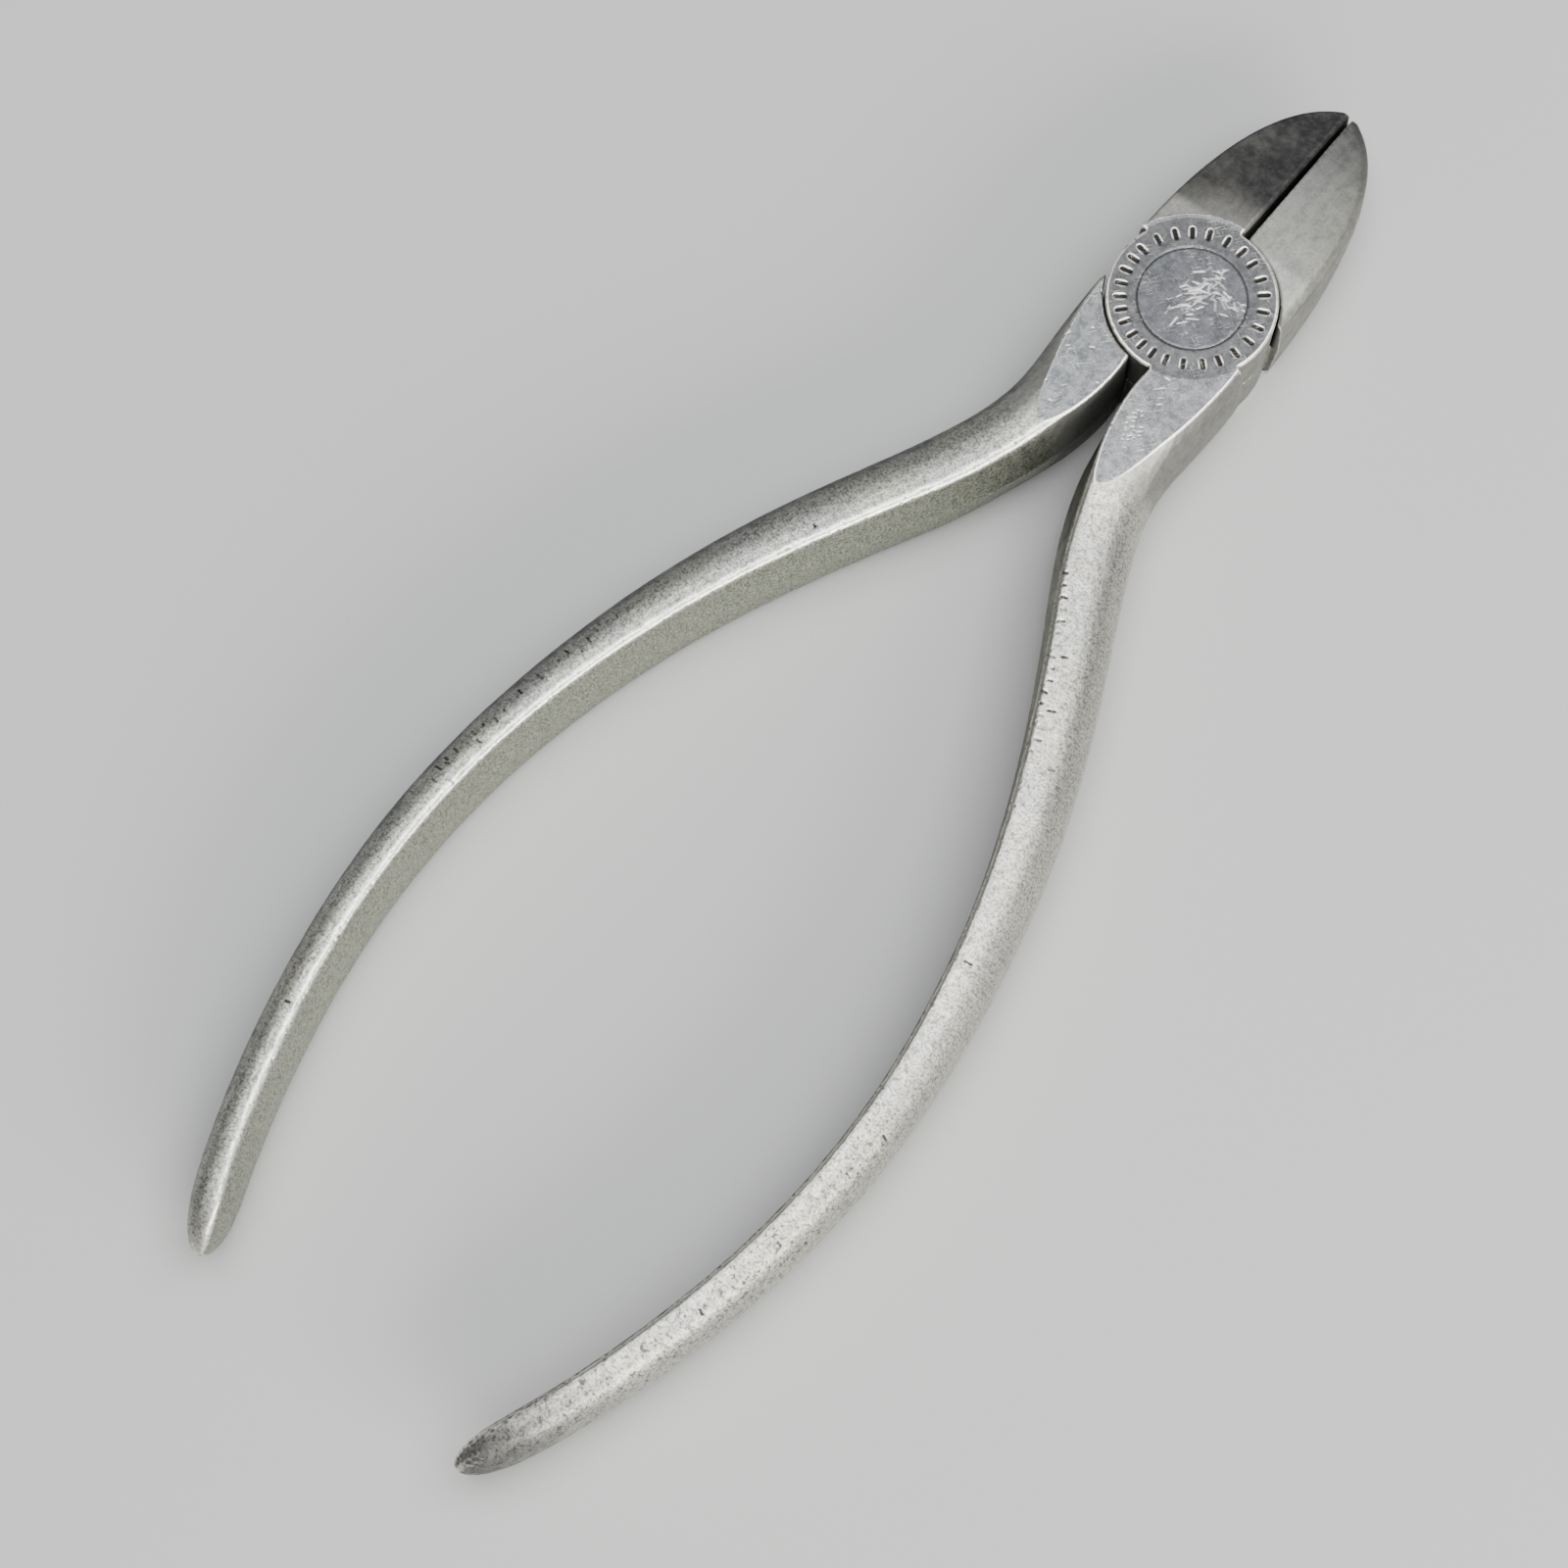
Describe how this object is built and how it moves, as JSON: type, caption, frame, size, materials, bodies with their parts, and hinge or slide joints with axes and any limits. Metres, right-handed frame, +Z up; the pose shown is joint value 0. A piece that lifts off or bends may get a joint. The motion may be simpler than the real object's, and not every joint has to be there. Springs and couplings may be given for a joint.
{
  "type": "diagonal cutting pliers",
  "caption": "Old all-steel diagonal cutting pliers: flush lap joint with a countersunk rivet, slender bevelled jaws and long bare bowed handles, closed and worn to a grey satin",
  "frame": {"origin": "where the pivot axis meets the lower ground face of the joint, which is the face the tool lies on", "axes": "+X towards the handle of the upper half, +Y along the tool towards the jaw tips, +Z up along the pivot axis"},
  "size_m": [0.056, 0.1542, 0.0115],
  "materials": {
    "forged_steel_upper": "satin",
    "forged_steel_lower": "satin",
    "rivet_steel": "satin"
  },
  "bodies": {
    "upper": {"upper_half": "forged_steel_upper", "pivot_rivet": "rivet_steel"},
    "lower": {"lower_half": "forged_steel_lower"}
  },
  "joints": [
    {"name": "pivot", "type": "hinge", "parent": "upper", "child": "lower", "pos_m": [0, 0, 0.00575], "axis": [0, 0, -1], "range_deg": [0, 30]}
  ]
}
